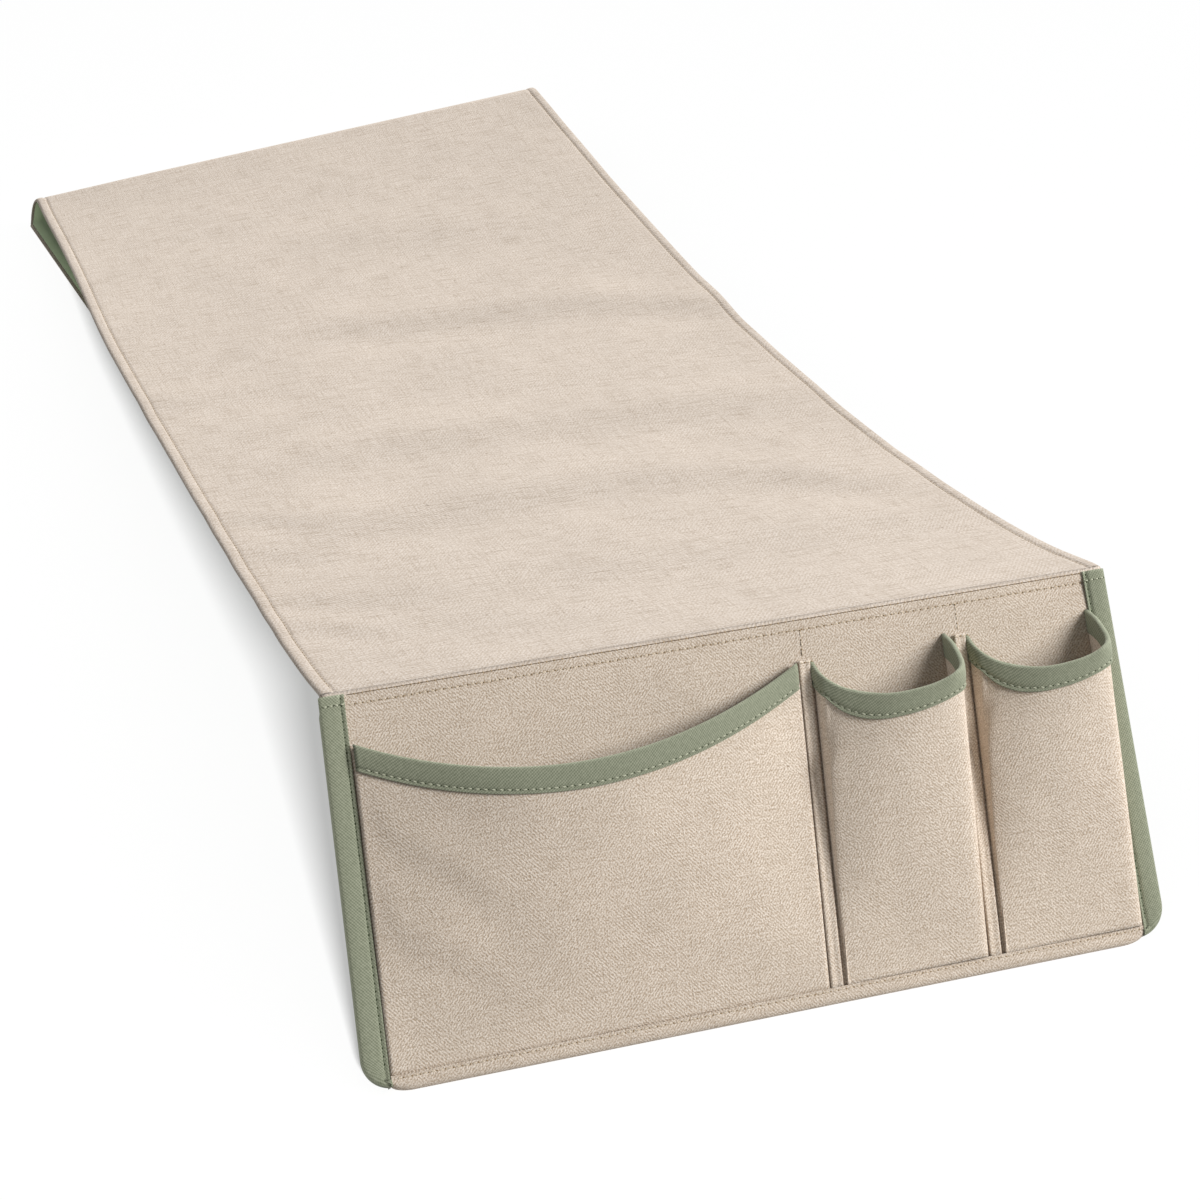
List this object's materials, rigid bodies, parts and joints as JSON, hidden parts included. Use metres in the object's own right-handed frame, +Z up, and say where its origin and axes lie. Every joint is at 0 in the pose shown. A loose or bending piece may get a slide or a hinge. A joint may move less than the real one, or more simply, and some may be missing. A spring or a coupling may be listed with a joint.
{
  "type": "sofa armrest organizer",
  "caption": "Long lined linen runner that drapes over a sofa arm, with a hinged pocket panel at the front, bound pocket rims and a tail turned under at the rear.",
  "frame": {"origin": "middle of the base: centre of the part's box, on the floor that the tail and the panel's hem stand on", "axes": "+Y along the runner from the pocket panel to the rear fold, +Z up, +X to the right seen from the pocket side"},
  "size_m": [0.35, 0.9014, 0.1156],
  "materials": {
    "linen": "matte slubbed linen weave",
    "panel_linen": "matte slubbed linen weave, a little darker",
    "lining": "matte sage green plain weave",
    "binding": "sage green twill tape",
    "interlining": "off-white non-woven interlining"
  },
  "bodies": {
    "runner": {"runner_cover": "linen", "runner_lining": "lining", "rear_fold_cover": "linen", "rear_fold_lining": "lining"},
    "panel": {"pocket_panel": "panel_linen", "panel_interlining": "interlining", "panel_lining": "lining", "left_side_binding": "binding", "right_side_binding": "binding", "bottom_hem": "panel_linen", "left_divider_strip": "panel_linen", "right_divider_strip": "panel_linen", "large_pocket": "panel_linen", "large_pocket_binding": "binding", "middle_pocket": "panel_linen", "middle_pocket_binding": "binding", "right_pocket": "panel_linen", "right_pocket_binding": "binding"},
    "tail": {"tail_cover": "linen", "tail_lining": "lining"}
  },
  "joints": [
    {"name": "panel_fold", "type": "hinge", "parent": "runner", "child": "panel", "pos_m": [0, -0.34669, 0.11249], "axis": [1, 0, 0], "range_deg": [-58, 86]},
    {"name": "tail_fold", "type": "hinge", "parent": "runner", "child": "tail", "pos_m": [-0.01095, 0.41731, 0.01425], "axis": [0.9962, 0.0789, 0.0364], "range_deg": [0, 180], "deforming": ["rear_fold_cover", "rear_fold_lining"]}
  ]
}
